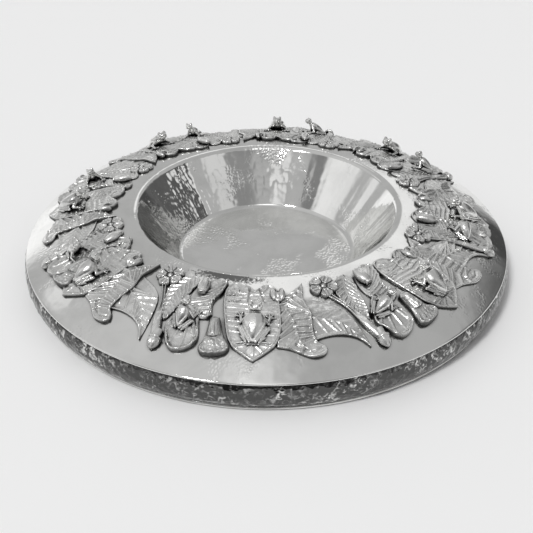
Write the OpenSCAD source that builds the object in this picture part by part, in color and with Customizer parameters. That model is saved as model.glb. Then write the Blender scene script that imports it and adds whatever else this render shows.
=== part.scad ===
// A wide hammered dish: a conical bowl sunk in a domed rim that carries cast frogs,
// leaves and flowers. Millimetres, +Z up, the origin on the table under the middle.

/* [Dish] */
// Radius of the foot wire at the middle of its section
foot_r = 222.4; // [221:0.1:223]
// Height of the foot wire
wire_h = 3.6; // [3:0.1:4.4]
// Radius of the outer crease of the rim
crease_r = 226.5; // [225:0.1:228]
// Height of the outer crease
crease_z = 29; // [26:0.5:32]
// Radius of the bowl's mouth, before its lip is rounded
mouth_r = 124; // [120:0.5:126]
// Height of the rim at the mouth
mouth_z = 58.2; // [54:0.2:62]
// Radius of the bowl's flat floor
floor_r = 85.5; // [75:0.5:90]
// Height of the floor's upper face
floor_z = 5.2; // [4:0.1:10]
// Thickness of the sheet that the dish is raised from
sheet = 1.2; // [0.8:0.1:1.5]
// Radius of the rounded lip of the bowl
lip_r = 8; // [5:0.5:10]
// How far the rim bulges above a straight cone
rim_bulge = 5.7; // [4:0.1:8]
// How far the edge belt bulges outwards
belt_bulge = 4.6; // [4:0.1:6]

/* [Leaves] */
// Thickness of one layer of leaves
leaf_t = 1.2; // [1:0.1:1.4]
// Half width of a heart leaf
heart_w = 21; // [19:0.5:22]
// Radius of a round leaf
round_leaf_r = 18.5; // [16:0.5:19.5]

/* [Flowers and frogs] */
// Radius of a five-petal flower
flower_r = 12.4; // [11:0.2:13]
// Height of a five-petal flower above the rim
flower_h = 4.2; // [3:0.2:5]
// Radius of a small flower
small_flower_r = 8.6; // [7:0.2:9]
// Length of a bell flower
bell_len = 30; // [27:0.5:31]
// Radius of a bell flower's skirt
bell_r = 11; // [9:0.5:11.5]
// Size of the large frogs, as a share of the drawn one
frog_size = 1; // [0.9:0.02:1.04]
// Size of the small frogs, as a share of a large one
small_share = 0.8; // [0.7:0.02:0.84]

/* [Hidden] */
$fn = 48;
rim_fn = 256;

// Where the eight motifs start, placed by hand, and the spacing the motif was drawn for
starts = [216.6, 267.1, 317.5, 356.5, 403, 446, 490, 538];
pitch = 50.4;
units = len(starts);

// The profile of the dish: two arcs for the rim and the belt, and a lip between rim and wall
mouth = [mouth_r, mouth_z];
crease = [crease_r, crease_z];
floor_edge = [floor_r, floor_z];
belt_end = [foot_r + 1.45, wire_h - 0.7];
function unit(v) = v / norm(v);
function arc_r(p, q, bulge) = (pow(norm(q - p), 2) / 4 + bulge * bulge) / (2 * bulge);
function left_of(v) = [-v[1], v[0]];
function arc_middle(p, q, bulge) =
    (p + q) / 2 + left_of(unit(q - p)) * (bulge - arc_r(p, q, bulge));
rim_r = arc_r(mouth, crease, rim_bulge);
rim_c = arc_middle(mouth, crease, rim_bulge);
belt_r = arc_r(crease, belt_end, belt_bulge);
belt_c = arc_middle(crease, belt_end, belt_bulge);
wall_dir = unit(mouth - floor_edge);
wall_out = -left_of(wall_dir);
lip_from = floor_edge + wall_out * lip_r - rim_c;
lip_along = lip_from * wall_dir;
lip_far = rim_r - lip_r;
lip_t = -lip_along + sqrt(lip_along * lip_along - lip_from * lip_from + lip_far * lip_far);
lip_c = floor_edge + wall_out * lip_r + wall_dir * lip_t;
lip_dir = unit(lip_c - rim_c);
mitre = unit(unit(rim_c - crease) + unit(belt_c - crease));
reach = 10;

// Layers of leaves on the rim
low_top = leaf_t;
mid_top = 2 * leaf_t;
high_top = 3 * leaf_t;

// Where the pieces of a motif sit: degrees after its start, and radius on the rim
ribbed_o = 10;
pointed_o = 18;
frog_at = 184;
tulip_o = 6.3;
tulip_at = 152;
flower_o = 21;
flower_at = 147.5;
fishbone_o = 28;
bud_o = 28.8;
bud_at = 207;
small_frog_o = 33;
small_frog_at = 183;
round_o = 33.3;
round_at = 190;
closed_bud_o = 33.9;
closed_bud_at = 150;
side_leaf_o = 37.8;
bell_o = 41.4;
bell_at = 193.5;
small_flower_o = 43.8;
small_flower_at = 154;

// Turns of the pieces that don't point straight out, and of each motif's smaller frog
closed_bud_turn = 11;
bell_turn = 11;
small_frog_turns = [-8, -64, -60, -50, -62, -48, -58, -66];

// Room left between a piece and the leaves cut round it
room = 0.6;
bud_r = 5.8;
stem_w = 1.4;
club_w = 2;

// Angle of a piece that is o degrees after motif i starts. Tight motifs close up late.
function gap(i) = (i == units - 1 ? starts[0] + 360 : starts[i + 1]) - starts[i];
function place(i, o) = starts[i] + o * (1 - (1 - gap(i) / pitch) * o / pitch);

// A smooth run through points, and a closed outline made of runs that meet at corners
function spline(a, b, c, d, t) = 0.5 * (2 * b + (c - a) * t
    + (2 * a - 5 * b + 4 * c - d) * t * t + (3 * b - a - 3 * c + d) * t * t * t);
function run(p, steps = 3) = [for (k = [0:len(p) - 2], s = [0:steps - 1])
    spline(p[max(k - 1, 0)], p[k], p[k + 1], p[min(k + 2, len(p) - 1)], s / steps)];
function outline(runs) = [for (r = runs, p = run(r)) p];

// The space between two heights above the rim
module rim_layer(low, high) {
    rotate_extrude($fn = rim_fn)
        intersection() {
            difference() {
                translate(rim_c) circle(rim_r + high, $fn = rim_fn);
                translate(rim_c) circle(rim_r + low, $fn = rim_fn);
            }
            translate([mouth_r + 4, 0]) square([crease_r - mouth_r, 2 * mouth_z]);
        }
}

// What lies below a height above the rim, to cut a piece to its seat
module under_rim(high) {
    rotate_extrude($fn = rim_fn)
        intersection() {
            translate(rim_c) circle(rim_r + high, $fn = rim_fn);
            translate([floor_r, 0]) square([crease_r, 2 * mouth_z]);
        }
}

// A leaf: its footprint, seen from above, between two heights above the rim
module leaf(low, high) {
    intersection() {
        rim_layer(low, high);
        linear_extrude(2 * mouth_z) children();
    }
}

// Turns what is drawn at radius at, with X outwards, into place at an angle
module spot(angle, at) {
    rotate(angle) translate([at, 0]) children();
}

// The same, lying on the rim's slope, turned by heading about the rim's normal
module seat(angle, at, heading = 0, up = 0) {
    slope = asin((at - rim_c[0]) / rim_r);
    rotate([0, 0, angle])
        translate([at, 0, rim_c[1] + rim_r * cos(slope)])
            rotate([0, slope, 0]) rotate([0, 0, heading]) translate([0, 0, up]) children();
}

// Footprints, one motif each
module heart_print(i) {
    right = [[148, -1.5], [142.5, 4], [141, 10], [145, 15.5], [152, 17.6], [162, 19],
        [174, 20.4], [184, 21], [193, 19.5], [199, 16.4]];
    tip = [211.6, 0];
    left = [[200.6, -16.4], [193.4, -20.2], [185, -22.4], [176, -24], [166, -25.4],
        [156.5, -26], [147, -25], [140.5, -21.5], [138.4, -15.5], [141, -8.5], [148, -1.5]];
    rotate(place(i, 0))
        polygon([for (p = outline([right, [right[9], tip], [tip, left[0]], left]))
            [p[0], p[1] * heart_w / 21]]);
}

module ribbed_print(i) {
    spine_side = [[141, 11], [150, 10.6], [157, 9.4], [165, 11.2], [172, 13.6],
        [180, 13.2], [190, 12.6], [197, 14]];
    lobe = [[197, 14], [200, 19], [204.5, 21.3], [208.6, 17.5], [209.6, 9], [207, 2],
        [202.3, -7], [199.5, -17]];
    hidden_side = [[199.5, -17], [186, -15], [172, -13], [161, -10], [152, -2], [141, 11]];
    rotate(place(i, ribbed_o)) polygon(outline([spine_side, lobe, hidden_side]));
}

module pointed_print(i) {
    inner = [[156, -19], [160, -6], [164, 5], [171, 15], [183, 21], [197, 25], [208.5, 27]];
    hollow = [[208.5, 27], [200, 19], [195.6, 8], [194.8, -5], [197, -18]];
    side = [[197, -18], [186, -22], [172, -21], [156, -19]];
    difference() {
        rotate(place(i, pointed_o)) polygon(outline([inner, hollow, side]));
        flower_print(i, room);
        stem_print(i, room);
    }
}

// Five petals round a middle, grown by spare
module petals(r, spare) {
    circle(r * 0.5 + spare);
    for (k = [0:4])
        rotate(72 * k) translate([r * 0.56, 0]) circle(r * 0.44 + spare);
}

module flower_print(i, spare = 0) {
    spot(place(i, flower_o), flower_at) petals(flower_r, spare);
}

// A point given by its radius and its degrees after motif i starts
function point(i, p) = let(a = place(i, p[1])) p[0] * [cos(a), sin(a)];

module stem_print(i, spare = 0) {
    middle = [[158, 21.6], [170, 24.4], [180, 25.8], [192, 27], [203, 28.4]];
    points = [for (p = run(middle)) point(i, p)];
    last = len(points) - 1;
    across = left_of(unit(points[last] - points[0]));
    half = [for (k = [0:last]) stem_w + spare + club_w * max(0, k / last - 0.4) / 0.6];
    polygon(concat([for (k = [0:last]) points[k] + half[k] * across],
        [for (k = [last:-1:0]) points[k] - half[k] * across]));
}

module fishbone_print(i) {
    difference() {
        rotate(place(i, fishbone_o))
            polygon(outline([[[189.5, 0], [186, 2.5], [175, 5.5], [164.4, 6.5], [152, 8.5],
                [144, 8.5], [139.5, 4], [141, -2], [146.5, -7.7], [155, -12], [163, -12],
                [171, -9.5], [179, -6.5], [186, -3], [189.5, 0]]]));
        flower_print(i, room);
        beside_stem(i);
        side_leaf_print(i, room);
    }
}

// Everything on the pointed leaf's side of the stem, the stem included
module beside_stem(i) {
    edge = [[140, 12], [140, 21.6], [158, 22.6], [170, 25.3], [180, 26.9], [192, 28.4],
        [210, 30.4], [210, 12]];
    polygon([for (p = edge) point(i, p)]);
}

function round_edge() = outline([
    [[170, -2], [176, -7.5], [184, -10.5], [191.7, -13.5], [200, -10.5], [207.5, -6.3]],
    [[207.5, -6.3], [210.7, -1.3], [210.6, 3.5], [208.5, 9], [204.2, 14], [199, 16],
        [193.7, 15.4], [184.1, 11.5], [176, 7.5], [170, -2]]]);

module round_print(i) {
    difference() {
        rotate(place(i, round_o)) polygon([for (p = round_edge()) p * round_leaf_r / 18.5
            + [round_at * (1 - round_leaf_r / 18.5), 0]]);
        bud_print(i, room);
        bell_print(i, room);
        spot(place(i, bell_o), bell_at) rotate(bell_turn)
            translate([-bell_len, 0]) square(2 * bell_len);
    }
}

module bud_print(i, spare = 0) {
    spot(place(i, bud_o), bud_at) circle(bud_r + 0.2 + spare);
}

module bell_print(i, spare = 0) {
    end = bell_len / 2 + spare;
    neck = 5 + spare;
    spot(place(i, bell_o), bell_at) rotate(bell_turn)
        polygon([[-end, -neck], [-end, neck], [0, neck + 1], [end, bell_r + spare],
            [end, -bell_r - spare], [0, -neck - 1]]);
}

module small_flower_print(i, spare = 0) {
    spot(place(i, small_flower_o), small_flower_at) rotate(36) petals(small_flower_r, spare);
}

module tulip_print(i, spare = 0) {
    spot(place(i, tulip_o), tulip_at) circle(5.5 + spare);
}

// The side leaf before its neighbours are cut away, grown by spare from its middle
module side_leaf_print(i, spare = 0) {
    middle = [158, -4];
    far_side = [[136.5, 2.2], [139.9, 7], [146, 7.4], [153.6, 6], [158, 3.5], [163.8, 2.1],
        [170, 3], [176.2, 5.3]];
    near_side = [[176.2, 5.3], [179.5, 2], [180.5, -4], [177, -11], [169, -16.5], [159, -18],
        [149, -15.5], [141, -9], [137, -2], [136.5, 2.2]];
    rotate(place(i, side_leaf_o))
        polygon([for (p = outline([far_side, near_side])) p + spare * unit(p - middle)]);
}

// The dish
module bowl() {
    tip = lip_c - wall_out * lip_r;
    under = tip + wall_out * sheet;
    foot_of_wall = floor_edge + wall_out * sheet
        - wall_dir * (sheet + wall_out[1] * sheet) / wall_dir[1];
    color("silver")
        rotate_extrude() {
            polygon([[0, floor_z - sheet], foot_of_wall, under, tip, floor_edge, [0, floor_z]]);
            intersection() {
                difference() {
                    translate(lip_c) circle(lip_r);
                    translate(lip_c) circle(lip_r - sheet);
                }
                polygon([lip_c, lip_c - wall_out * 3 * lip_r,
                    lip_c + unit(lip_dir - wall_out) * 3 * lip_r, lip_c + lip_dir * 3 * lip_r]);
            }
        }
}

module rim_dome() {
    color("gainsboro")
        rotate_extrude()
            intersection() {
                difference() {
                    translate(rim_c) circle(rim_r);
                    translate(rim_c) circle(rim_r - sheet);
                }
                polygon([rim_c, rim_c + lip_dir * 1.2 * rim_r, crease - mitre * reach,
                    crease + mitre * reach]);
            }
}

module edge_belt() {
    color("gray")
        rotate_extrude()
            difference() {
                intersection() {
                    difference() {
                        translate(belt_c) circle(belt_r);
                        translate(belt_c) circle(belt_r - sheet);
                    }
                    polygon([belt_c, crease + mitre * reach, crease - mitre * reach,
                        crease + [3 * reach, 0], [crease_r + 3 * reach, belt_end[1]],
                        [belt_c[0], belt_end[1]]]);
                }
                wire_section();
            }
}

module wire_section() {
    translate([foot_r, wire_h / 2]) circle(wire_h / 2);
    translate([foot_r - wire_h, 0]) square([wire_h, wire_h]);
}

module foot_wire() {
    color("silver") rotate_extrude() wire_section();
}

// Leaves
module heart_leaf(i) {
    color("lightgray")
        leaf(mid_top, high_top)
            difference() {
                heart_print(i);
                bell_print((i + units - 1) % units, room);
                small_flower_print((i + units - 1) % units, room);
                tulip_print(i, room);
            }
}

module ribbed_leaf(i) {
    color("gainsboro")
        leaf(low_top, mid_top)
            difference() {
                ribbed_print(i);
                tulip_print(i, room);
                flower_print(i, room);
            }
}

module pointed_leaf(i) {
    color("silver") leaf(0, low_top) pointed_print(i);
}

module fishbone_leaves() {
    color("lightgray") for (i = [0:units - 1]) leaf(0, low_top) fishbone_print(i);
}

module round_leaves() {
    color("gainsboro") for (i = [0:units - 1]) leaf(low_top, mid_top) round_print(i);
}

module side_leaves() {
    color("silver")
        for (i = [0:units - 1]) leaf(0, low_top)
            difference() {
                side_leaf_print(i);
                small_flower_print(i, room);
                bell_print(i, room);
            }
}

// Flowers and buds
module five_petal_flowers() {
    color("whitesmoke")
        for (i = [0:units - 1]) leaf(0, flower_h) flower_print(i);
}

module small_flowers() {
    color("whitesmoke")
        for (i = [0:units - 1]) leaf(0, flower_h) small_flower_print(i);
}

module bud_stems() {
    color("silver")
        for (i = [0:units - 1]) leaf(0, low_top)
            difference() {
                stem_print(i);
                flower_print(i);
                bud_print(i);
            }
}

// Cuts a body's underside to the rim, or to the top of a layer of leaves on it
module cut_to(high) {
    difference() {
        children();
        under_rim(high);
    }
}

// A lozenge turned about Z, blunt at both ends: half length and radius
module lozenge(half, wide) {
    rotate_extrude()
        polygon([[0, -half], [0.35 * wide, -half], [0.8 * wide, -0.6 * half], [wide, -0.1 * half],
            [0.9 * wide, 0.4 * half], [0.55 * wide, 0.8 * half], [0.3 * wide, half], [0, half]]);
}

module stem_buds() {
    color("whitesmoke")
        for (i = [0:units - 1]) cut_to(0) seat(place(i, bud_o), bud_at, 0, 1) sphere(bud_r);
}

module closed_buds() {
    color("whitesmoke")
        for (i = [0:units - 1]) cut_to(low_top)
            seat(place(i, closed_bud_o), closed_bud_at, closed_bud_turn, 2)
                rotate([0, 90, 0]) lozenge(10, 4.6);
}

module tulip_buds() {
    color("whitesmoke")
        for (i = [0:units - 1]) cut_to(0)
            seat(place(i, tulip_o), tulip_at, 0, 1) rotate([0, 90, 0]) lozenge(7.4, 5);
}

module bell_flowers() {
    crown = 5;
    back = bell_len / 2;
    color("gainsboro")
        for (i = [0:units - 1])
            cut_to(0)
                seat(place(i, bell_o), bell_at, bell_turn, 0.5)
                    rotate([0, 90, 0])
                        rotate_extrude() {
                            intersection() {
                                translate([0, crown - back]) circle(crown);
                                translate([0, -back]) square([crown, 2 * crown]);
                            }
                            polygon([[0, crown - back], [crown, crown - back], [crown, -2],
                                [bell_r - 1, back - 4], [bell_r, back - 3], [bell_r, back],
                                [0, back]]);
                        }
}

// A tapering limb between two points
module limb(from, to, r1, r2) {
    along = to - from;
    translate(from)
        rotate([0, acos(along[2] / norm(along)), atan2(along[1], along[0])])
            cylinder(h = norm(along), r1 = r1, r2 = r2);
}

// Toes spread from the origin, towards -X
module toes(long) {
    linear_extrude(1.1)
        polygon([[1.5, 0], for (k = [-2:2])
            each [long * [-cos(24 * k), sin(24 * k)],
                0.45 * long * [-cos(24 * k + 12), sin(24 * k + 12)]]]);
}

// A frog that sits on the plane z = 0 and faces -X, its middle over the origin
module frog() {
    intersection() {
        union() {
            translate([2, 0, 4.4]) rotate([0, 74, 0]) lozenge(16, 8);
            translate([-11, 0, 8.4]) sphere(5.6);
            for (side = [-1, 1]) {
                translate([-12.4, side * 3.7, 12.2]) sphere(2.2);
                limb([14.5, side * 3, 2.4], [1, side * 9.2, 3.4], 1.9, 2.5);
                translate([0.6, side * 9.4, 3.2]) sphere(2.8);
                limb([0.9, side * 10.6, 2.2], [14, side * 5.2, 1.3], 1.6, 1.1);
                limb([-6, side * 4, 5.5], [-9.4, side * 10.4, 0.8], 2, 1.3);
                translate([-9.8, side * 10.8, 0]) rotate(-side * 45) toes(4.6);
            }
        }
        translate([-30, -20, 0]) cube([60, 40, 30]);
    }
}

module frog_large(i) {
    color("darkgray") seat(place(i, 0), frog_at, 0, high_top) scale(frog_size) frog();
}

module frog_small(i) {
    color("darkgray")
        seat(place(i, small_frog_o), small_frog_at, small_frog_turns[i], mid_top)
            scale(frog_size * small_share) frog();
}

bowl();
rim_dome();
edge_belt();
foot_wire();
for (i = [0:units - 1]) {
    heart_leaf(i);
    frog_large(i);
    ribbed_leaf(i);
    pointed_leaf(i);
    frog_small(i);
}
five_petal_flowers();
bud_stems();
stem_buds();
fishbone_leaves();
round_leaves();
bell_flowers();
small_flowers();
closed_buds();
side_leaves();
tulip_buds();
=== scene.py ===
import math
from math import radians

import bpy
import numpy as np
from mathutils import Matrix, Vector
from mathutils.geometry import delaunay_2d_cdt


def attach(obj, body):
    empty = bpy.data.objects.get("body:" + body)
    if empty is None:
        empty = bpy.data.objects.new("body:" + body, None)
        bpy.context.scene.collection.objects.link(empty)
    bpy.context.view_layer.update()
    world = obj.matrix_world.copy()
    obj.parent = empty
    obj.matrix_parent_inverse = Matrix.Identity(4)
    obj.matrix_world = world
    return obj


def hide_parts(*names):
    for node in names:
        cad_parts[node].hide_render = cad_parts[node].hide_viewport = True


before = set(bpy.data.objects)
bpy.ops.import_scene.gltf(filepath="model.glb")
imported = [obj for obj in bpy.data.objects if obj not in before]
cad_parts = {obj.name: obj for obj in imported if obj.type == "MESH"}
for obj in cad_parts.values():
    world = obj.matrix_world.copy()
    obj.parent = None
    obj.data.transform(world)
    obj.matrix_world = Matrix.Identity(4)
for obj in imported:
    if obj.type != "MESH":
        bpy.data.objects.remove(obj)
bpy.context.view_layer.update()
scene = bpy.context.scene

# Lengths are in millimetres until a mesh is made. MM turns them into the frame's metres.
MM = 0.001
TAU = 2 * math.pi

# ---- The dish's profile, as in the CAD model: radius and height ----
SHEET = 1.2
FOOT_R, WIRE_H = 222.4, 3.6
CREASE = np.array([226.5, 29.0])
MOUTH = np.array([124.0, 58.2])
FLOOR = np.array([85.5, 5.2])
BELT_END = np.array([FOOT_R + 1.45, WIRE_H - 0.7])
LIP_R = 8.0
RIM_BULGE, BELT_BULGE = 5.7, 4.6

# Height of the castings' flat backs, a little under the dome's face
BACK = -0.4

# Spacing of the points on small castings
FINE = 0.42


def cos_sin(degrees):
    """Cosine and sine of an angle."""
    return math.cos(radians(degrees)), math.sin(radians(degrees))


def unit(v):
    return v / np.linalg.norm(v)


def left_of(v):
    return np.array([-v[1], v[0]])


def arc(p, q, bulge):
    """Radius and middle of the arc from p to q that bulges to the left of the way."""
    r = (np.dot(q - p, q - p) / 4 + bulge**2) / (2 * bulge)
    return r, (p + q) / 2 + left_of(unit(q - p)) * (bulge - r)


def lip_middle():
    """Middle of the lip's arc, which touches the wall and the rim's arc."""
    start = FLOOR + WALL_OUT * LIP_R
    gap = start - RIM_C
    back = gap @ WALL
    return start + WALL * (-back + math.sqrt(back**2 - gap @ gap + (RIM_R - LIP_R) ** 2))


RIM_R, RIM_C = arc(MOUTH, CREASE, RIM_BULGE)
BELT_R, BELT_C = arc(CREASE, BELT_END, BELT_BULGE)
WALL = unit(MOUTH - FLOOR)
WALL_OUT = -left_of(WALL)
LIP_C = lip_middle()
LIP_DIR = unit(LIP_C - RIM_C)

# ---- The eight motifs round the rim ----
STARTS = [216.6, 267.1, 317.5, 356.5, 403.0, 446.0, 490.0, 538.0]
PITCH = 50.4
UNITS = len(STARTS)


def place(i, o):
    """Angle of a piece that is o degrees after motif i starts. Tight motifs close up late."""
    following = STARTS[0] + 360 if i == UNITS - 1 else STARTS[i + 1]
    return STARTS[i] + o * (1 - (1 - (following - STARTS[i]) / PITCH) * o / PITCH)


# ---- Random numbers and fields that are the same on each run ----
def scatter(a, b, seed):
    """An even random number from 0 to 1 for each pair of whole numbers."""
    h = (a * 374761393 + b * 668265263 + seed * 144269504) & 0xFFFFFFFF
    h = ((h ^ (h >> 13)) * 1274126177) & 0xFFFFFFFF
    return ((h ^ (h >> 16)) & 0xFFFFFF) / float(0x1000000)


def smooth(t):
    """Goes smoothly from 0 to 1 while t does."""
    t = np.clip(t, 0, 1)
    return t * t * (3 - 2 * t)


def rise(x, start, width):
    """Goes smoothly from 0 to 1 over a width from a start."""
    return smooth((x - start) / width)


def hill(x, width):
    """A round hill that is 1 high where x is 0."""
    return np.exp(-(x / width) ** 2)


def dome(x, width):
    """A dome that is 1 high where x is 0 and ends at a width on both sides."""
    return np.sqrt(np.clip(1 - (x / width) ** 2, 0, 1))


# A count of lumps that is too high for noise to close up on itself
NEVER = 1 << 20


def waves(u, v, seed, around=NEVER):
    """Smooth noise from -1 to 1 whose lumps are about one unit across. u wraps after around."""
    iu, iv = np.floor(u).astype(np.int64), np.floor(v).astype(np.int64)
    su, sv = smooth(u - iu), smooth(v - iv)
    a, b, c, d = (scatter((iu + du) % around, iv + dv, seed) for dv in (0, 1) for du in (0, 1))
    return 2 * ((a * (1 - su) + b * su) * (1 - sv) + (c * (1 - su) + d * su) * sv) - 1


def dents(u, v, seed, around=NEVER):
    """Squared distance to the nearest hammer blow, with about one blow to each square unit."""
    iu, iv = np.floor(u).astype(np.int64), np.floor(v).astype(np.int64)
    best = np.full(u.shape, 4.0)
    for du in (-1, 0, 1):
        for dv in (-1, 0, 1):
            cu, cv = iu + du, iv + dv
            x = cu + 0.1 + 0.8 * scatter(cu % around, cv, seed)
            y = cv + 0.1 + 0.8 * scatter(cu % around, cv, seed + 7)
            best = np.minimum(best, (x - u) ** 2 + (y - v) ** 2)
    return best


def lumps(field, angle, way, count, length, seed):
    """A field of waves or dents: count round the dish, and one to each length along the sheet."""
    return field(angle * count / TAU, np.full(len(angle), way / length), seed, count)


# ---- Meshes ----
def put(name, data):
    """A new object in the scene."""
    made = bpy.data.objects.new(name, data)
    scene.collection.objects.link(made)
    return made


def add(name, node, slot, points, faces, material):
    """Adds a smooth piece that stands for a CAD node, from points in millimetres and faces."""
    mesh = bpy.data.meshes.new(name)
    mesh.from_pydata((points * MM).tolist(), [], faces)
    mesh.validate()
    mesh.shade_smooth()
    mesh.materials.append(material)
    piece = put(name, mesh)
    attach(piece, "root")
    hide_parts(node)


def lengths(path):
    """How far along a path each of its points is."""
    return np.concatenate([[0], np.cumsum(np.linalg.norm(np.diff(path, axis=0), axis=1))])


def closed(loop):
    """A loop with its first point again at its end."""
    return np.vstack([loop, loop[:1]])


def revolve(rows, turns, lift):
    """Points and faces of a section turned about Z.

    A row is (radius, height, way along the sheet, normal's radius part, its height part). Rows
    run outwards over the upper face and back below. Both ends lie on the axis, or the section
    is closed. lift gives how far the sheet is pushed along its normal, from angle and way.
    """
    angle = np.arange(turns) * TAU / turns
    cos, sin = np.cos(angle), np.sin(angle)
    points, rings, on_axis = [], [], []
    count = 0
    for r, z, way, nr, nz in rows:
        on_axis.append(r < 1e-6)
        if on_axis[-1]:
            rings.append(np.full(turns, count))
            points.append(np.array([[0.0, 0.0, z]]))
            count += 1
            continue
        push = lift(angle, way)
        radius, height = r + nr * push, z + nz * push
        rings.append(count + np.arange(turns))
        points.append(np.stack([radius * cos, radius * sin, height], -1))
        count += turns
    pairs = [(k, k + 1) for k in range(len(rows) - 1)]
    if not on_axis[0]:
        pairs.append((len(rows) - 1, 0))
    faces = []
    for k, n in pairs:
        a, b = rings[k], rings[n]
        a2, b2 = np.roll(a, -1), np.roll(b, -1)
        if on_axis[k]:
            faces += np.stack([a, b, b2], -1).tolist()
        elif on_axis[n]:
            faces += np.stack([a, b, a2], -1).tolist()
        else:
            faces += np.stack([a, b, b2, a2], -1).tolist()
    return np.vstack(points), faces


def sheet_rows(path, thick, sparse=8):
    """Rows of a sheet whose upper face follows a path, and whose lower face is thick below it."""
    path = np.asarray(path, float)
    hair = 0.04
    path = np.vstack([path[:-1], [path[-1] + unit(path[-2] - path[-1]) * hair], path[-1:]])
    if path[0, 0] > 1e-6:
        path = np.vstack([path[:1], [path[0] + unit(path[1] - path[0]) * hair], path[1:]])
    step = np.gradient(path, axis=0)
    normal = np.stack([-step[:, 1], step[:, 0]], -1)
    normal /= np.linalg.norm(normal, axis=1)[:, None]
    way = lengths(path)
    if path[0, 0] < 1e-6:
        normal[0] = (0, 1)
    upper = [(*p, w, *n) for p, w, n in zip(path, way, normal)]
    keep = sorted({0, 1, len(path) - 2, len(path) - 1, *range(2, len(path) - 2, sparse)})
    lower = [(*(path[k] - thick * normal[k]), way[k], *normal[k]) for k in reversed(keep)]
    return upper + lower


def along(p, q, step):
    """Points from p up to, but not including, q."""
    n = max(1, int(round(np.linalg.norm(np.subtract(q, p)) / step)))
    return [np.asarray(p) + (np.asarray(q) - p) * k / n for k in range(n)]


def bend(middle, radius, start, end, n):
    """n points on an arc from one angle to another, in degrees."""
    a = np.radians(np.linspace(start, end, n))
    return [np.asarray(middle) + radius * np.array([math.cos(t), math.sin(t)]) for t in a]


def angle_of(v):
    return math.degrees(math.atan2(v[1], v[0]))


# ---- Outlines, seen from above: points as (radius outwards, distance anticlockwise) ----
def spline(points, steps=6):
    """A smooth run through points."""
    p = np.asarray(points, float)
    out = []
    for k in range(len(p) - 1):
        a, b, c, d = p[max(k - 1, 0)], p[k], p[k + 1], p[min(k + 2, len(p) - 1)]
        for s in range(steps):
            t = s / steps
            out.append(0.5 * (2 * b + (c - a) * t + (2 * a - 5 * b + 4 * c - d) * t * t
                              + (3 * b - a - 3 * c + d) * t**3))
    out.append(p[-1])
    return np.array(out)


def joined(*runs):
    """A closed outline. Each run of points goes on from the corner that ends the one before."""
    corners = [runs[-1][-1:], *(r[-1:] for r in runs[:-1])]
    return np.concatenate([spline([*c, *r])[:-1] for c, r in zip(corners, runs)])


def even(loop, step):
    """A closed outline, walked again in even steps."""
    loop = closed(loop)
    length = lengths(loop)
    n = int(length[-1] / step)
    at = np.arange(n) * length[-1] / n
    return np.stack([np.interp(at, length, loop[:, k]) for k in (0, 1)], -1)


def nearest(p, line):
    """Distance from each point to a line of points, and how far along the line that is."""
    a, b = line[:-1], line[1:]
    ab = b - a
    size = np.maximum((ab**2).sum(1), 1e-12)
    reach = np.sqrt(size)
    before = np.concatenate([[0], np.cumsum(reach)[:-1]])
    t = np.clip(((p[:, None, :] - a) * ab).sum(2) / size, 0, 1)
    d = np.linalg.norm(p[:, None, :] - (a + t[:, :, None] * ab), axis=2)
    k = np.argmin(d, axis=1)
    row = np.arange(len(p))
    return d[row, k], (before[k] + t[row, k] * reach[k]) / reach.sum()


def within(p, loop):
    """Which points lie inside a closed outline."""
    a, b = loop, np.roll(loop, -1, axis=0)
    x, y = p[:, 0:1], p[:, 1:2]
    spans = (a[:, 1] > y) != (b[:, 1] > y)
    tall = np.where(b[:, 1] == a[:, 1], 1e-12, b[:, 1] - a[:, 1])
    cut = a[:, 0] + (y - a[:, 1]) * (b[:, 0] - a[:, 0]) / tall
    return (spans & (x < cut)).sum(1) % 2 == 1


def filled(loop, step, margin=0.55):
    """Points and triangles that fill an outline. Its own points come first."""
    low, high = loop.min(0), loop.max(0)
    rows = []
    for k, y in enumerate(np.arange(low[1], high[1], step * 0.866)):
        x = np.arange(low[0] + (k % 2) * step / 2, high[0], step)
        rows.append(np.stack([x, np.full(len(x), y)], -1))
    grid = np.concatenate(rows)
    grid = grid[within(grid, loop)]
    grid = grid[nearest(grid, closed(loop))[0] > margin * step]
    everything = np.vstack([loop, grid])
    verts, _, faces, origin, _, _ = delaunay_2d_cdt(
        [tuple(v) for v in everything], [], [list(range(len(loop)))], 1, 1e-9)
    back = [o[0] for o in origin]
    tris = []
    for f in faces:
        a, b, c = (verts[k] for k in f)
        f = [back[k] for k in f]
        area = (b[0] - a[0]) * (c[1] - a[1]) - (b[1] - a[1]) * (c[0] - a[0])
        tris.append(f if area > 0 else f[::-1])
    return everything, tris


def to_rim(x, y, h):
    """Points above the rim's dome, from their place seen from above and height along its normal."""
    r = np.hypot(x, y)
    lean = np.arcsin((r - RIM_C[0]) / RIM_R)
    out = h * np.sin(lean) / r
    return np.stack([x * (1 + out), y * (1 + out), RIM_C[1] + (RIM_R + h) * np.cos(lean)], -1)


def settle(points):
    """Lifts what would hang through the rim's sheet, so that it ends inside the sheet."""
    r = np.hypot(points[:, 0], points[:, 1])
    dr, dz = r - RIM_C[0], points[:, 2] - RIM_C[1]
    far = np.hypot(dr, dz)
    grow = np.maximum(RIM_R + BACK, far) / far
    new_r = RIM_C[0] + dr * grow
    return np.stack([points[:, 0] * new_r / r, points[:, 1] * new_r / r,
                     RIM_C[1] + dz * grow], -1)


def turned(points, degrees):
    """Points turned about Z."""
    c, s = cos_sin(degrees)
    out = np.array(points, float)
    out[:, 0], out[:, 1] = c * points[:, 0] - s * points[:, 1], s * points[:, 0] + c * points[:, 1]
    return out


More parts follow.
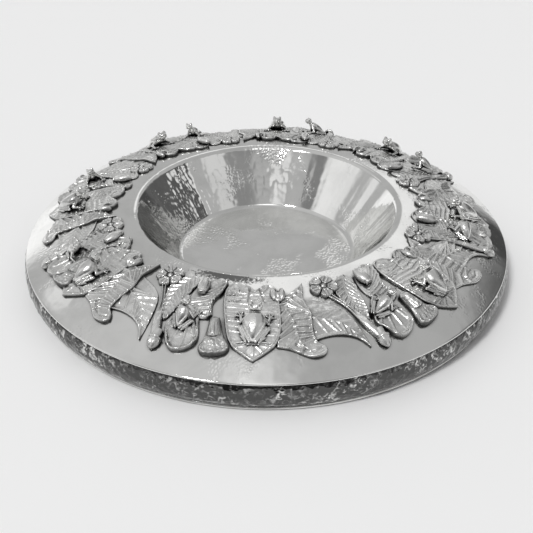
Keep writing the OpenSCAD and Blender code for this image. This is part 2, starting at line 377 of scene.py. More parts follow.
class Plate:
    """A cast leaf or flower: an outline, how high its face stands at each point, and its edge."""

    def __init__(self, outline, height, step=0.55):
        """height gives the face's height from the points' places and their distance inside."""
        loop = even(outline, step)
        area = (loop[:, 0] * np.roll(loop[:, 1], -1) - loop[:, 1] * np.roll(loop[:, 0], -1)).sum()
        if area < 0:
            loop = loop[::-1]
        self.count = len(loop)
        self.flat, self.tris = filled(loop, step)
        self.under, self.under_tris = filled(loop, 6.0, 0.3)
        inset = nearest(self.flat, closed(loop))[0]
        worn_edge = 0.45 * (1 - smooth(inset / 0.9)) ** 2
        self.high = height(self.flat, inset) - worn_edge

    def copy(self, angle, seed, wobble=0.22):
        """Points and faces of one cast, turned to its place, each a little different."""
        n, count = self.count, len(self.flat)
        x, y = self.flat.T
        bump = wobble * waves(x / 11 + seed, y / 11, seed)
        bump += 0.2 * waves(x / 3.1 + seed, y / 3.1, seed + 3)
        bump += 0.075 * waves(x / 1.4 + seed, y / 1.4, seed + 5)
        high = self.high + bump
        rows = [to_rim(*turned(self.flat, angle).T, high)]
        edge = turned(self.flat[:n], angle).T
        for share in (0.3, 0.65, 1.0):
            rows.append(to_rim(*edge, high[:n] * (1 - share) + BACK * share))
        inner = self.under[n:]
        rows.append(to_rim(*turned(inner, angle).T, np.full(len(inner), BACK)))
        faces = [list(f) for f in self.tris]
        loops = [np.arange(n)] + [count + k * n + np.arange(n) for k in range(3)]
        for a, b in zip(loops, loops[1:]):
            faces += np.stack([a, b, np.roll(b, -1), np.roll(a, -1)], -1).tolist()
        for f in self.under_tris:
            faces.append([k + count + 2 * n for k in f[::-1]])
        return np.vstack(rows), faces


def gather(parts):
    """One set of points and faces from several."""
    points, faces, base = [], [], 0
    for p, f in parts:
        points.append(p)
        faces += [[k + base for k in face] for face in f]
        base += len(p)
    return np.vstack(points), faces


def vein(p, line, width, height, thin):
    """How far a raised vein lifts each point. It gets thinner and lower along its way."""
    d, t = nearest(p, np.asarray(line, float))
    left = 1 - thin * t
    return height * left * np.exp(-(d / (width * (0.5 + 0.5 * left))) ** 2)


def raised(p, lines, width, height, thin):
    """The highest that any of several veins lifts each point."""
    return np.max([vein(p, line, width, height, thin) for line in lines], axis=0)


def side_veins(spine, spacing, first, reach, lean, hook, last=0.96):
    """Lines that leave a spine on one side, a spacing apart, up to the last share of it.

    lean is their turn from the spine in degrees, and hook how far they curve along it.
    """
    length = lengths(spine)
    lines = []
    at = first
    while at < length[-1] * last:
        k = np.searchsorted(length, at) - 1
        way = unit(spine[k + 1] - spine[k])
        start = spine[k] + way * (at - length[k])
        out = turned(way[None], lean)
        t = np.linspace(0, 1, 5)[:, None]
        lines.append(start + out * reach * t + way * hook * reach * t * t)
        at += spacing
    return lines


def surface(field, low, high, step):
    """Points and faces where a field of distances goes from inside to outside."""
    axes = [np.arange(low[k], high[k] + step, step) for k in range(3)]
    f = field(*np.meshgrid(*axes, indexing="ij"))
    cells = tuple(n - 1 for n in f.shape)
    total = np.zeros(cells + (3,))
    count = np.zeros(cells)
    edges = []
    for axis in range(3):
        first = np.take(f, range(f.shape[axis] - 1), axis)
        second = np.take(f, range(1, f.shape[axis]), axis)
        at = np.argwhere((first < 0) != (second < 0))
        fa, fb = first[tuple(at.T)], second[tuple(at.T)]
        where = at.astype(float)
        where[:, axis] += fa / (fa - fb)
        u, v = (axis + 1) % 3, (axis + 2) % 3
        corners = []
        for du, dv in ((-1, -1), (0, -1), (0, 0), (-1, 0)):
            cell = at.copy()
            cell[:, u] += du
            cell[:, v] += dv
            corners.append(cell)
        good = np.all([(c >= 0).all(1) & (c < cells).all(1) for c in corners], axis=0)
        for c in corners:
            np.add.at(total, tuple(c[good].T), where[good])
            np.add.at(count, tuple(c[good].T), 1)
        edges.append(([c[good] for c in corners], fa[good] < 0))
    used = count > 0
    number = np.full(cells, -1)
    number[used] = np.arange(used.sum())
    points = total[used] / count[used][:, None] * step + np.asarray(low)
    faces = []
    for corners, outwards in edges:
        ids = np.stack([number[tuple(c.T)] for c in corners], -1)
        faces += ids[outwards].tolist() + ids[~outwards][:, ::-1].tolist()
    return points, faces


def ball(x, y, z, middle, radii):
    """Distance to an ellipsoid, near enough close to it."""
    px, py, pz = x - middle[0], y - middle[1], z - middle[2]
    a, b, c = radii
    k0 = np.sqrt((px / a) ** 2 + (py / b) ** 2 + (pz / c) ** 2) + 1e-9
    k1 = np.sqrt((px / a**2) ** 2 + (py / b**2) ** 2 + (pz / c**2) ** 2) + 1e-9
    return k0 * (k0 - 1) / k1


def rod(x, y, z, p, q, r1, r2):
    """Distance to a rounded rod whose radius goes from r1 to r2."""
    p, d = np.array(p, float), np.subtract(q, p)
    t = np.clip(((x - p[0]) * d[0] + (y - p[1]) * d[1] + (z - p[2]) * d[2]) / (d @ d), 0, 1)
    far = np.sqrt((x - p[0] - t * d[0]) ** 2 + (y - p[1] - t * d[1]) ** 2
                  + (z - p[2] - t * d[2]) ** 2)
    return far - (r1 + (r2 - r1) * t)


def blend(a, b, k):
    """Joins two fields with a soft fillet of size k."""
    h = np.clip(0.5 + 0.5 * (b - a) / k, 0, 1)
    return b * (1 - h) + a * h - k * h * (1 - h)


def seat(points, angle, at, heading, up):
    """Moves a body from the plane z = 0 to the rim's slope at a radius and an angle."""
    lean = math.asin((at - RIM_C[0]) / RIM_R)
    p = turned(points, heading)
    p[:, 2] += up
    x, z = p[:, 0].copy(), p[:, 2].copy()
    p[:, 0] = x * math.cos(lean) + z * math.sin(lean) + at
    p[:, 2] = z * math.cos(lean) - x * math.sin(lean) + RIM_C[1] + RIM_R * math.cos(lean)
    return turned(p, angle)


# ---- Materials ----
class Nodes:
    """A node tree and short ways to add nodes to it."""

    def __init__(self, tree, where, blue):
        """where is the output that gives places, and blue the share of blue in its greys."""
        self.tree, self.blue = tree, blue
        self.where = self.add("ShaderNodeTexCoord", {}).outputs[where]

    def add(self, kind, inputs, **settings):
        """A new node. Each input is joined to an output or set to a value."""
        made = self.tree.nodes.new(kind)
        for key, value in settings.items():
            setattr(made, key, value)
        for key, value in inputs.items():
            self.join(value, made.inputs[key])
        return made

    def join(self, a, b):
        """Joins an output to an input, or sets the input to a value."""
        if hasattr(a, "is_linked"):
            self.tree.links.new(a, b)
        else:
            b.default_value = a

    def noise(self, size, detail, rough, twist=0.0):
        """Noise with lumps of a size in millimetres."""
        return self.add("ShaderNodeTexNoise", {
            "Vector": self.where, "Scale": 1 / (size * MM), "Detail": detail,
            "Roughness": rough, "Distortion": twist}).outputs["Fac"]

    def cells(self, size, soft=0.6):
        """Round dimples of a size in millimetres."""
        return self.add("ShaderNodeTexVoronoi", {
            "Vector": self.where, "Scale": 1 / (size * MM), "Smoothness": soft},
            feature="SMOOTH_F1").outputs["Distance"]

    def span(self, value, low, high, to_low=0.0, to_high=1.0):
        """Goes smoothly from one value to another while the input goes from low to high."""
        return self.add("ShaderNodeMapRange", {
            "Value": value, "From Min": low, "From Max": high, "To Min": to_low,
            "To Max": to_high}, interpolation_type="SMOOTHSTEP").outputs["Result"]

    def calc(self, what, a, b):
        return self.add("ShaderNodeMath", {0: a, 1: b}, operation=what).outputs[0]

    def mix(self, share, a, b):
        """Mixes two colours, or greys given as numbers."""
        a, b = ((v, v, v * self.blue, 1.0) if isinstance(v, float) else v for v in (a, b))
        return self.add("ShaderNodeMix", {0: share, 6: a, 7: b}, data_type="RGBA").outputs[2]

    def bump(self, height, share, depth, below=None):
        """Tilts the surface as a height does, on top of another bump if one is given."""
        inputs = {"Strength": share, "Distance": depth * MM, "Height": height}
        if below:
            inputs["Normal"] = below
        return self.add("ShaderNodeBump", inputs).outputs["Normal"]


def new_material(name, where, blue):
    """A material, its shader, and its nodes."""
    material = bpy.data.materials.new(name)
    material.use_nodes = True
    return (material, material.node_tree.nodes["Principled BSDF"],
            Nodes(material.node_tree, where, blue))


def tarnish(m):
    """Falls from 1 to a little above 0 over a speckled dark patch beside the mouth."""
    spot = m.add("ShaderNodeMapping", {
        "Vector": m.where, "Location": Vector((-32.2, -126.2, 58.0)) * MM,
        "Rotation": (0, 0, radians(-14)), "Scale": Vector((26.0, 6.4, 20.0)) * MM},
        vector_type="TEXTURE")
    far = m.add("ShaderNodeVectorMath", {0: spot.outputs["Vector"]}, operation="LENGTH")
    speckle = m.calc("MULTIPLY", m.calc("SUBTRACT", m.noise(2.2, 4.0, 0.7), 0.5), 3.0)
    return m.span(m.calc("ADD", far.outputs["Value"], speckle), 0.7, 1.25, 0.12, 1.0)


def silver(name, film, recess_shade_and_tarnish, reach, polish, dull, blows=None, crinkle=None, grain=0.012,
           stipple=None, dark_reflection_blots=None, closed_at=(0.25, 0.9), sides=None, dark_patch=False):
    """Silver: a faint uneven film, with hammer and polish marks, duller in recesses and painted
    darker there, as painted shade that also stands for tarnish in the hollows.

    film is its clean and filmed shade, recess_shade_and_tarnish the colour painted where it is
    closed in within reach millimetres, a painted shade that also stands for tarnish, and closed_at
    the openness where that is full and where it ends. polish is the least and most roughness, and
    dull what a recess adds. blows and stipple are the size and depth of hammer marks and punched
    dots, crinkle those of fine marks and the size of their patches, and grain the depth of the
    finest. dark_reflection_blots is a darker shade painted in blots as a dark reflection, its share
    and its size.
    sides is how much of the colour is left on walls that stand upright, a painted shade on them.
    """
    material, shader, m = new_material(name, "Object", 0.985)
    m.join(1.0, shader.inputs["Metallic"])
    cloud = m.noise(34.0, 4.0, 0.55, 0.4)
    base = m.mix(m.span(cloud, 0.36, 0.66), *film)
    # Blots of a darker shade: a painted dark reflection.
    if dark_reflection_blots:
        shade, share, size = dark_reflection_blots
        base = m.mix(m.span(m.noise(size, 5.0, 0.6, 0.8), 0.62 - share, 0.68), shade, base)
    # Ambient occlusion paints recesses and the gaps between parts darker: painted shade, also
    # standing for tarnish in the hollows.
    around = m.add("ShaderNodeAmbientOcclusion", {"Distance": reach * MM}, samples=6)
    openness = m.span(around.outputs["AO"], *closed_at)
    # Walls that stand upright are painted darker than faces that look up: painted shade.
    if sides:
        normal = m.add("ShaderNodeNewGeometry", {}).outputs["Normal"]
        facing_up = m.add("ShaderNodeSeparateXYZ", {0: normal}).outputs["Z"]
        openness = m.calc("MULTIPLY", openness, m.span(facing_up, 0.12, 0.55, sides, 1.0))
    if dark_patch:
        openness = m.calc("MULTIPLY", openness, tarnish(m))
    m.join(m.mix(openness, recess_shade_and_tarnish, base), shader.inputs["Base Color"])
    smear = m.span(m.noise(9.0, 5.0, 0.6, 0.6), 0.3, 0.7, *polish)
    closed_off = m.calc("MULTIPLY", m.calc("SUBTRACT", 1.0, openness), dull)
    m.join(m.calc("ADD", smear, closed_off), shader.inputs["Roughness"])
    normal = m.bump(m.noise(0.9, 4.0, 0.6), 0.5, grain)
    if blows:
        normal = m.bump(m.cells(blows[0]), 0.8, blows[1], normal)
    if crinkle:
        size, depth, patches = crinkle
        share = m.span(m.noise(patches, 3.0, 0.5, 0.5), 0.5, 0.64)
        normal = m.bump(m.cells(size, 0.3), share, depth, normal)
    if stipple:
        normal = m.bump(m.cells(stipple[0], 0.2), 0.9, stipple[1], normal)
    m.join(normal, shader.inputs["Normal"])
    return material


# The shade after each film is the colour painted into recesses: painted shade, also standing for
# tarnish in the hollows.
BOWL_SILVER = silver("silver_bowl", (0.95, 0.86), 0.6, 6.0, (0.04, 0.09), 0.15,
                     blows=(7.0, 0.06), crinkle=(2.4, 0.3, 40.0))
RIM_SILVER = silver("silver_rim", (0.95, 0.87), 0.1, 4.0, (0.06, 0.11), 0.3,
                    blows=(6.0, 0.05), crinkle=(2.2, 0.2, 30.0), dark_patch=True)
# The belt's dark filmed shade and its dark blots are a painted dark reflection of dark surroundings
# in front of it.
BELT_SILVER = silver("silver_belt", (0.92, 0.2), 0.12, 3.0, (0.06, 0.16), 0.3,
                     blows=(3.6, 0.4), crinkle=(1.7, 0.4, 9.0), dark_reflection_blots=(0.1, 0.12, 4.6))
WIRE_SILVER = silver("silver_wire", (0.82, 0.6), 0.12, 2.5, (0.08, 0.18), 0.4,
                     blows=(2.6, 0.1))
LEAF_SILVER = silver("silver_leaf", (0.99, 0.8), 0.05, 4.2, (0.2, 0.32), 0.22,
                     crinkle=(1.3, 0.2, 7.0), grain=0.02, closed_at=(0.42, 0.99), sides=0.36)
PETAL_SILVER = silver("silver_petal", (0.99, 0.8), 0.05, 3.4, (0.2, 0.31), 0.22,
                      crinkle=(1.1, 0.16, 6.0), grain=0.02, closed_at=(0.4, 0.98), sides=0.42)
FROG_SILVER = silver("silver_frog", (0.92, 0.7), 0.02, 5.5, (0.15, 0.28), 0.3,
                     stipple=(1.15, 0.09), grain=0.015, closed_at=(0.34, 0.92))
BELL_SILVER = silver("silver_bell", (0.9, 0.68), 0.03, 4.0, (0.26, 0.4), 0.3,
                     stipple=(1.7, 0.3), grain=0.02, closed_at=(0.36, 0.95), sides=0.2)


# ---- The dish ----
# Points round the bowl and the rim
TURNS = 900


def bowl():
    """The bowl: floor, fillet, fluted and hammered wall, and lip. Its left back is wrinkled."""
    fillet = 5.0
    tangent = fillet * math.tan(radians(angle_of(WALL)) / 2)
    wall_foot = FLOOR + WALL * tangent
    floor_end = FLOOR[0] - tangent
    path = along((0.0, FLOOR[1]), (floor_end, FLOOR[1]), 2.6)
    path += bend((floor_end, FLOOR[1] + fillet), fillet, -90, -90 + angle_of(WALL), 6)[:-1]
    path += along(wall_foot, LIP_C - WALL_OUT * LIP_R, 1.5)
    path += bend(LIP_C, LIP_R, angle_of(-WALL_OUT), angle_of(LIP_DIR), 16)
    rows = sheet_rows(path, SHEET, 7)

    def lift(angle, way):
        up = way - FLOOR[0]
        on_wall = smooth(up / 8) * (1 - rise(up, 60, 10))
        fluting = 0.2 * lumps(waves, angle, way, 46, 90, 3)
        fluting += 0.07 * lumps(waves, angle, way, 150, 60, 6)
        drift = 0.10 * lumps(waves, angle, way, 14, 40, 5)
        rough = smooth(0.5 + 1.4 * lumps(waves, angle, way, 9, 30, 8))
        blows = lumps(dents, angle, way, 90, 7.0, 4)
        streaky = hill(angle - radians(146), 0.26)
        wrinkles = 0.2 * lumps(waves, angle, way, 160, 48, 10)
        on_floor = 1 - rise(up, -12, 8)
        ripple = 0.05 * lumps(waves, angle, way, 8, 22, 9)
        return (on_wall * (fluting + drift + (0.05 + 0.3 * rough) * blows + streaky * wrinkles)
                + on_floor * smooth(way / 20) * (ripple + 0.06 * blows))

    add("bowl_raised", "bowl", "bowl_silver", *revolve(rows, TURNS, lift), BOWL_SILVER)


def rim():
    """The domed rim, lightly hammered, and the turn at its outer crease."""
    start, end = angle_of(LIP_DIR), angle_of(CREASE - RIM_C)
    n = int(RIM_R * radians(start - end) / 1.5)
    path = bend(RIM_C, RIM_R, start, end + 0.25, n)
    turn_r = 1.3
    path += bend(RIM_C + unit(CREASE - RIM_C) * (RIM_R - turn_r), turn_r, end, end - 62, 6)
    rows = sheet_rows(path, SHEET)

    def lift(angle, way):
        blows = lumps(dents, angle, way, 118, 9.0, 14)
        drift = lumps(waves, angle, way, 30, 38, 15)
        rough = smooth(0.2 + 1.5 * lumps(waves, angle, way, 22, 26, 16))
        calm = rise(way, 2, 8) * (1 - rise(way, 98, 7))
        return calm * (0.09 * drift + (0.07 + 0.16 * rough) * blows)

    add("rim_raised", "rim_dome", "rim_silver", *revolve(rows, TURNS, lift), RIM_SILVER)


def belt():
    """The belt, covered in deep hammer blows with finer ones in them."""
    tuck = 0.5
    start, end = angle_of(CREASE - BELT_C), angle_of(BELT_END - BELT_C)
    n = int(BELT_R * radians(start - end) / 0.8)
    path = bend(BELT_C, BELT_R - tuck, start - 1.2, end + 1.0, n)
    rows = sheet_rows(path, SHEET - 0.2)

    def lift(angle, way):
        blows = lumps(dents, angle, way, 205, 6.6, 24)
        fine = lumps(dents, angle, way, 420, 3.2, 26)
        drift = lumps(waves, angle, way, 60, 14, 25)
        calm = smooth(way / 3) * (1 - rise(way, 24, 3))
        return calm * (0.85 * blows + 0.16 * fine + 0.15 * drift) - 0.25

    add("belt_hammered", "edge_belt", "belt_silver", *revolve(rows, 1360, lift), BELT_SILVER)


def foot():
    """The foot wire: round outside, flat inside, and flat below where the dish stands on it."""
    r = WIRE_H / 2
    back = [(FOOT_R - WIRE_H, 0.0), (FOOT_R - WIRE_H, WIRE_H)]
    section = np.array(bend((FOOT_R, r), r, 90, -90, 13) + back)
    middle = section.mean(0)
    rows = [(*p, 0.5, *unit(p - middle)) for p in section]

    def lift(angle, way):
        return 0.12 * lumps(waves, angle, way, 300, 1.0, 31)

    points, faces = revolve(rows, 720, lift)
    points[:, 2] = np.maximum(points[:, 2], 0.0)
    add("foot_bead", "foot_wire", "belt_silver", points, faces, WIRE_SILVER)


bowl()
rim()
belt()
foot()


# ---- Leaves ----
def heart_height(p, inset):
    """A heart leaf: a raised edge, slanted veins, and a tip folded down along a crease."""
    rho, t = p.T
    spine = spline([[150, -1], [170, 0.5], [197, 0]])
    up = 2.5 + 0.5 * hill(t, 9) + 0.95 * hill(inset - 1.0, 0.9)
    ribs = (side_veins(spine, 4.6, 9.0, 22, 102, 0.12)
            + side_veins(spine, 4.6, 9.0, 27, -106, 0.12))
    lobes = [spline([[152, -2], [0.5 * (152 + end[0]) + 1.5, 0.6 * end[1]], end])
             for end in ([143, 8], [149, 15], [141, -15], [146, -22], [155, -24])]
    veins = np.maximum(raised(p, ribs, 0.9, 0.65, 0.45), raised(p, lobes, 1.1, 1.0, 0.4))
    fold = spline([[198.6, -18], [196.8, -9], [196.6, 0], [196.8, 9], [198.6, 17]])
    crease = vein(p, fold, 0.9, 0.75, 0.0)
    fan = [[[197, 0], end]
           for end in ([211, 0], [205.5, 8.5], [205.5, -8.5], [201, 14], [201, -14.5])]
    tip = raised(p, fan, 0.8, 0.6, 0.3)
    out = np.where(rho < 196.5, veins * smooth(inset / 2.2) + up, up + tip - 0.07 * (rho - 197))
    groove = 0.5 * hill(rho - 198.4, 0.8)
    for line in ([[140.5, -8.5], [148, -5.8], [160, -6.5]], [[143, 2], [150, 3], [160, 7]]):
        groove += vein(p, spline(line), 0.75, 1.1, 0.3)
    return out + crease - groove


RIBBED_EDGE = [[141, 11], [150, 10.6], [157, 9.4], [165, 11.2], [172, 13.6], [180, 13.2],
               [190, 12.6], [197, 14]]


def ribbed_height(p, inset):
    """A broad leaf with strong ribs, a curled lobe and a thick edge over the next leaf."""
    rho, t = p.T
    spine = spline([[144, 8.5], [151, 4], [159, -2.5], [166.5, -5.3], [173, -3.2], [182, -0.8],
                    [190, -0.2], [198, 2.2], [206, 9]])
    up = 1.75 + 0.35 * smooth(inset / 5)
    inner = raised(p, side_veins(spine, 5.6, 5.0, 24, 78, -0.05, 0.93), 1.2, 1.55, 0.25)
    outer = raised(p, side_veins(spine, 6.6, 8.5, 22, -58, -0.12, 0.9), 1.2, 1.75, 0.25)
    ribs = np.maximum(np.maximum(inner, outer), vein(p, spine, 1.1, 0.95, 0.4))
    lip = vein(p, spline(RIBBED_EDGE), 1.5, 1.35, 0.0)
    curl = 1.5 * rise(rho, 198, 9) * rise(t, 4, 12)
    hook = spline([[199, -2], [203.6, 4], [205.4, 11], [203, 17]])
    curl -= 0.9 * vein(p, hook, 0.9, 1.0, 0.0)
    hem = 0.45 * hill(inset - 0.9, 0.8)
    return up + ribs * smooth(inset / 1.6) + lip + curl + hem


POINTED_UPPER = [[156, -19], [160, -6], [164, 5], [171, 15], [183, 21], [197, 25], [208.5, 27]]
POINTED_LOWER = [[208.5, 27], [200, 19], [195.6, 8], [194.8, -5], [197, -18]]


def pointed_height(p, inset):
    """A pointed leaf: a smooth field with thin veins and a thick hollow outer edge."""
    spine = spline([[170, -18], [176.8, -8.7], [179.8, -0.3], [182.2, 5.3], [187, 11.9],
                    [195, 18.5], [202, 23], [208, 26.6]])
    up = 0.75 + 0.45 * smooth(inset / 6)
    sides = (side_veins(spine, 6.8, 5.0, 17, 44, 0.1, 0.85)
             + side_veins(spine, 6.8, 5.0, 15, -46, 0.1, 0.85))
    veins = np.maximum(vein(p, spine, 0.9, 1.0, 0.3), raised(p, sides, 1.05, 1.15, 0.35))
    hem = vein(p, spline(POINTED_UPPER), 1.3, 0.75, 0.0)
    thick = vein(p, spline(POINTED_LOWER), 1.9, 1.7, 0.0)
    return up + veins * smooth(inset / 1.2) + np.maximum(hem, thick)


def into(p, middle, degrees):
    """Points as seen from a middle on the X axis, with X turned by degrees."""
    return turned(p - [middle, 0.0], -degrees)


def fishbone_height(p, inset):
    """A small leaf with close ribs on both sides of its spine, and a raised edge."""
    spine = spline([[140, 3.5], [152, -1.5], [163, -4], [177, -3], [189, -0.5]])
    sides = side_veins(spine, 5.0, 3.0, 17, 50, 0.15) + side_veins(spine, 5.0, 3.0, 17, -52, 0.15)
    bones = np.maximum(vein(p, spine, 0.9, 1.0, 0.2), raised(p, sides, 1.2, 1.15, 0.25))
    return 1.15 + bones * smooth(inset / 1.1) + 0.6 * hill(inset - 0.8, 0.8)


def round_height(p, inset):
    """A shell-shaped leaf with a lip rolled up on its outer side, and a few forked veins."""
    rho, t = p.T
    lip = 2.2 * rise(rho, 193, 8) * hill(inset - 1.5, 1.6)
    forks = [spline([[177, 0], [0.5 * (177 + end[0]) - 3, end[1] * 0.45 + 1], end])
             for end in ([207, -4], [198, -12], [188, -12], [208, 6], [201, 14], [190, 13])]
    veins = raised(p, forks, 1.15, 1.1, 0.4)
    hollow = 0.9 * np.exp(-((rho - 199) / 6) ** 2 - ((t - 2) / 8) ** 2)
    hem = 0.6 * hill(inset - 0.9, 0.8)
    return 2.4 - hollow + lip + veins * smooth(inset / 1.5) + hem


SIDE_EDGE = np.array([[136.5, 2.2], [139.9, 7], [146, 7.4], [153.6, 6], [158, 3.5],
                      [163.8, 2.1], [170, 3], [176.2, 5.3]])


def side_height(p, inset):
    """A side leaf whose ribs slant in from one thick, wavy edge."""
    rho, t = p.T
    slants = []
    for k in range(9):
        at = 139.5 + 4.7 * k
        start = np.array([at, np.interp(at, *SIDE_EDGE.T) - 0.6])
        end = start + 22 * np.array(cos_sin(-42 - 6 * k))
        slants.append(spline([start, 0.5 * (start + end) + np.array([1.2, 0.8]), end]))
    ribs = raised(p, slants, 1.35, 1.35, 0.3)
    far = smooth((t - np.interp(rho, *SIDE_EDGE.T) + 7) / 4)
    return (1.5 + ribs * smooth(inset / 1.2) + far * 1.5 * hill(inset - 1.0, 1.0)
            + 0.4 * smooth(inset / 4))


# ---- Flowers ----
HALF_PETAL = math.pi / 5


def petal_outline(middle, radius, spin):
    """Five round petals with a small notch in each and a ragged edge, about a middle."""
    a = np.linspace(0, TAU, 240, endpoint=False)
    off = np.abs((a - radians(spin) + HALF_PETAL) % (2 * HALF_PETAL) - HALF_PETAL)
    c = 0.5 * radius
    r = c * np.cos(off) + np.sqrt(np.maximum(c**2 - (c * np.sin(off)) ** 2, 0.02))
    r -= 0.06 * radius * hill(off - 0.04, 0.09)
    r += 0.025 * radius * waves(a * 30 / TAU, np.full(len(a), radius), 71, 30)
    return np.stack([middle + r * np.cos(a), r * np.sin(a)], -1)


def petal_height(middle, radius, spin, tall):
    """Cupped petals round a ringed middle, parted by dark gaps."""
    def height(p, inset):
        q = into(p, middle, spin)
        r = np.hypot(*q.T)
        off = (np.arctan2(q[:, 1], q[:, 0]) + HALF_PETAL) % (2 * HALF_PETAL) - HALF_PETAL
        cx, cy = r * np.cos(off) - 0.6 * radius, r * np.sin(off)
        own = np.hypot(cx, cy) / (0.4 * radius)
        cup = tall * (0.74 + 0.16 * hill(own - 0.8, 0.22) - 0.12 * np.exp(-own**2))
        folds = hill(cy - 0.1 * radius, 0.4) + hill(cy + 0.13 * radius, 0.4)
        folds += 0.7 * hill(np.abs(cy) - 0.27 * radius, 0.4)
        cup -= 0.15 * tall * folds * smooth((r - 0.3 * radius) / 1.5)
        gap = hill(HALF_PETAL * r - np.abs(off) * r, 0.42) * smooth((r - 0.2 * radius) / 1.5)
        eye = 0.17 * radius
        boss = 0.95 * tall * dome(r, eye)
        ring = 0.42 * tall * hill(r - eye * 1.35, 0.65)
        up = np.where(r < eye, np.maximum(boss, cup - ring), cup - ring)
        return up - 0.48 * tall * gap - 0.3 * tall * (1 - smooth(inset))
    return height


# ---- Frogs, in millimetres, facing -X over the plane z = 0 ----
# The hind leg on one side: both ends of thigh, shin and sole, their radii, and the fillet
HIND_LEG = [((14.4, 2.4, 2.2), (2.6, 9.0, 3.2), 1.25, 1.55, 0.2),
            ((2.0, 11.3, 2.0), (14.6, 5.0, 1.1), 1.5, 1.0, 0.2),
            ((14.2, 5.2, 0.6), (9.0, 9.6, 0.2), 0.9, 0.6, 0.4)]
ELBOW = (-2.0, 10.2, 2.6)
WRIST = (-8.4, 11.4, 1.3)
# The front toes' turns from straight ahead, in degrees, and their length
TOES = (-62, -16, 30, 78)
TOE = 4.2


def tilted(x, z, middle, degrees):
    """Places ahead of and above a middle, for a body that is raised by an angle."""
    c, s = cos_sin(degrees)
    dx, dz = x - middle[0], z - middle[1]
    return -dx * c + dz * s, dx * s + dz * c


def frog_field(pitch, head_up, broad):
    """A sitting frog, its body raised by pitch degrees and its head by head_up."""
    c, s = cos_sin(pitch)
    middle = (2.6, 3.2 + 8.6 * s)
    head_at = (middle[0] - 14.9 * c, middle[1] + 14.9 * s + 0.9)
    socket = (head_at[0] + 0.5, 3.2, head_at[1] + 2.3)
    eye = (head_at[0] + 0.3, 3.5, head_at[1] + 3.3)
    shoulder = (middle[0] - 8 * c, 5.4, middle[1] + 8 * s - 2.2)
    limbs = HIND_LEG + [(shoulder, ELBOW, 2.0, 1.5, 0.7), (ELBOW, WRIST, 1.4, 1.1, 0.5)]

    def field(x, y, z):
        side = np.abs(y)
        a, b = tilted(x, z, middle, pitch)
        rear = np.clip((2.5 - a) / 15.5, 0, 1) ** 1.5
        narrow = 1 + 0.95 * rear + 0.3 * np.clip((a - 6) / 7, 0, 1) ** 2
        body = ball(a, y * narrow, b, (0, 0, 0), (13.0, broad, 5.3))
        ha, hb = tilted(x, z, head_at, head_up)
        taper = 1 + 0.32 * np.clip(ha / 5.6, 0, 1) ** 2
        head = ball(ha, y * taper, hb, (0, 0, 0), (5.8, 5.6, 3.6))
        mouth = 0.34 * hill(hb + 0.9, 0.38) * rise(ha, -2, 2)
        neck = 1.7 * hill(a - 10.6, 1.0) * rise(b, 0.3, 2) * (1 - rise(side, 3.0, 2.2))
        whole = blend(body, head + mouth, 0.7) + neck
        whole = blend(whole, ball(x, side, z, socket, (2.7, 2.3, 2.1)), 0.6)
        whole = blend(whole, ball(x, side, z, eye, (1.85, 1.7, 1.75)), 0.25)
        for start, end, r1, r2, fillet in limbs:
            whole = blend(whole, rod(x, side, z, start, end, r1, r2), fillet)
        for turn in TOES:
            c, s = cos_sin(turn)
            tip = (WRIST[0] - TOE * c, WRIST[1] + TOE * s, 0.6)
            whole = blend(whole, rod(x, side, z, (*WRIST[:2], 1.0), tip, 0.8, 0.5), 0.3)
            whole = blend(whole, ball(x, side, z, tip, (0.95, 0.95, 1.0)), 0.25)
        return np.maximum(whole, -1.6 - z)
    return field


def bud_field(x, y, z):
    """The head at a stem's end: a ring, and a blunt cap with six faint facets."""
    facets = 0.3 * np.cos(6 * np.arctan2(z - 1.8, y)) * rise(x, -1, 2)
    core = ball(x, y, z, (0.6, 0, 1.8), (6.2, 5.0, 4.6)) - facets
    ring = np.hypot(np.hypot(y, z - 1.8) - 4.5, x + 1.8) - 1.0
    cap = ball(x, y, z, (5.8, 0, 1.6), (1.9, 2.3, 2.2))
    neck = rod(x, y, z, (-9, 0, 1.6), (-3, 0, 1.8), 3.4, 3.6)
    whole = blend(blend(core, neck, 0.8), ring, 0.25)
    return blend(whole, cap, 0.25)


def closed_bud_field(x, y, z):
    """A closed bud: a smooth drop with a seam and a small ring at its end."""
    slim = 1 + 0.35 * np.clip(-x / 9, 0, 1)
    core = ball(x, y * slim, z, (0, 0, 2.4), (9.6, 4.9, 4.0))
    seam = 0.3 * hill(y - 0.9 * np.cos(x / 6), 0.35) * rise(z, 2, 1.5)
    ring = np.hypot(np.hypot(y, z - 2.2) - 2.3, x - 8.6) - 0.75
    return blend(core + seam, ring, 0.3)


def tulip_field(x, y, z):
    """A half open bud: two cupped petals round a core, on a short stalk."""
    core = ball(x, y, z, (0.5, 0, 2.0), (5.0, 2.6, 3.4))
    left = ball(x, y, z, (0, 3.2, 2.0), (6.6, 2.9, 3.6))
    right = ball(x, y, z, (0, -3.2, 2.0), (6.6, 2.9, 3.6))
    dip = ball(x, y, z, (-4.2, 0, 4.6), (4.6, 2.5, 3.0))
    base = ball(x, y, z, (5.2, 0, 1.5), (3.0, 3.4, 2.5))
    whole = np.maximum(blend(blend(left, right, 0.4), core, 0.3), -dip)
    return blend(whole, base, 0.5)


BELL_AT, BELL_TURN = 193.5, 11


